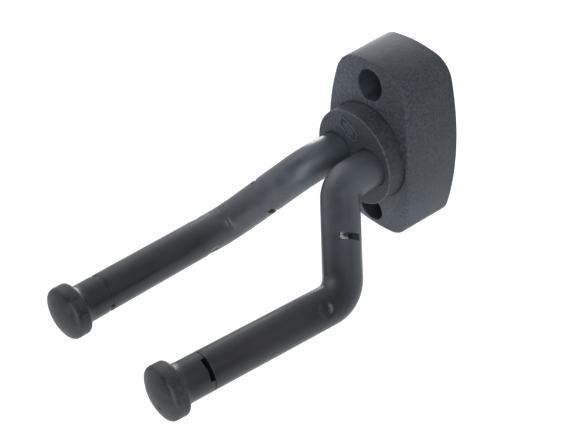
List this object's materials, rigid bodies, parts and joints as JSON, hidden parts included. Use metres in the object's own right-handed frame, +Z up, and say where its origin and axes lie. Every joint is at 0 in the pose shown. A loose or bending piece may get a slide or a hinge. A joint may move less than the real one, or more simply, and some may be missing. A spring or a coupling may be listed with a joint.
{
  "type": "wall guitar hanger",
  "caption": "Wall guitar hanger: barrel-shaped moulded base with two screw wells and a round hub on a swivel, carrying a padded steel fork with domed end caps.",
  "frame": {"origin": "centre of the wall face, in the wall plane, on the swivel axis", "axes": "+Y into the wall, +Z up, +X to the right for someone facing the wall; the hanger stands out along -Y"},
  "size_m": [0.0905, 0.1704, 0.0838],
  "materials": {
    "grained_plastic": "charcoal moulded plastic with a fine spark-eroded grain",
    "satin_cushion": "smooth satin black elastomer over the rods",
    "nylon": "natural nylon bearing pieces",
    "bright_steel": "bright plated round steel rod",
    "spring_steel": "oiled spring steel",
    "zinc_plated_steel": "bright zinc plate"
  },
  "bodies": {
    "base": {"base_housing": "grained_plastic", "back_plate": "zinc_plated_steel", "back_plate_screw_upper_right": "zinc_plated_steel", "back_plate_screw_lower_right": "zinc_plated_steel", "back_plate_screw_upper_left": "zinc_plated_steel", "back_plate_screw_lower_left": "zinc_plated_steel", "bearing_bush": "nylon", "glide_ring": "nylon"},
    "fork": {"wave_washer": "spring_steel", "pivot_journal": "zinc_plated_steel", "stop_plate": "zinc_plated_steel", "pivot_washer": "zinc_plated_steel", "pivot_bolt": "zinc_plated_steel", "pivot_nut": "zinc_plated_steel", "yoke_plate": "zinc_plated_steel", "hub_screw_upper": "zinc_plated_steel", "hub_screw_lower": "zinc_plated_steel", "hub_shell": "grained_plastic", "right_rod": "bright_steel", "right_sleeve": "satin_cushion", "right_end_cap": "satin_cushion", "left_rod": "bright_steel", "left_sleeve": "satin_cushion", "left_end_cap": "satin_cushion"}
  },
  "joints": [
    {"name": "fork_swivel", "type": "hinge", "parent": "base", "child": "fork", "pos_m": [0, -0.0277, 0], "axis": [0, 1, 0], "range_deg": [-36.4, 43.6]}
  ]
}
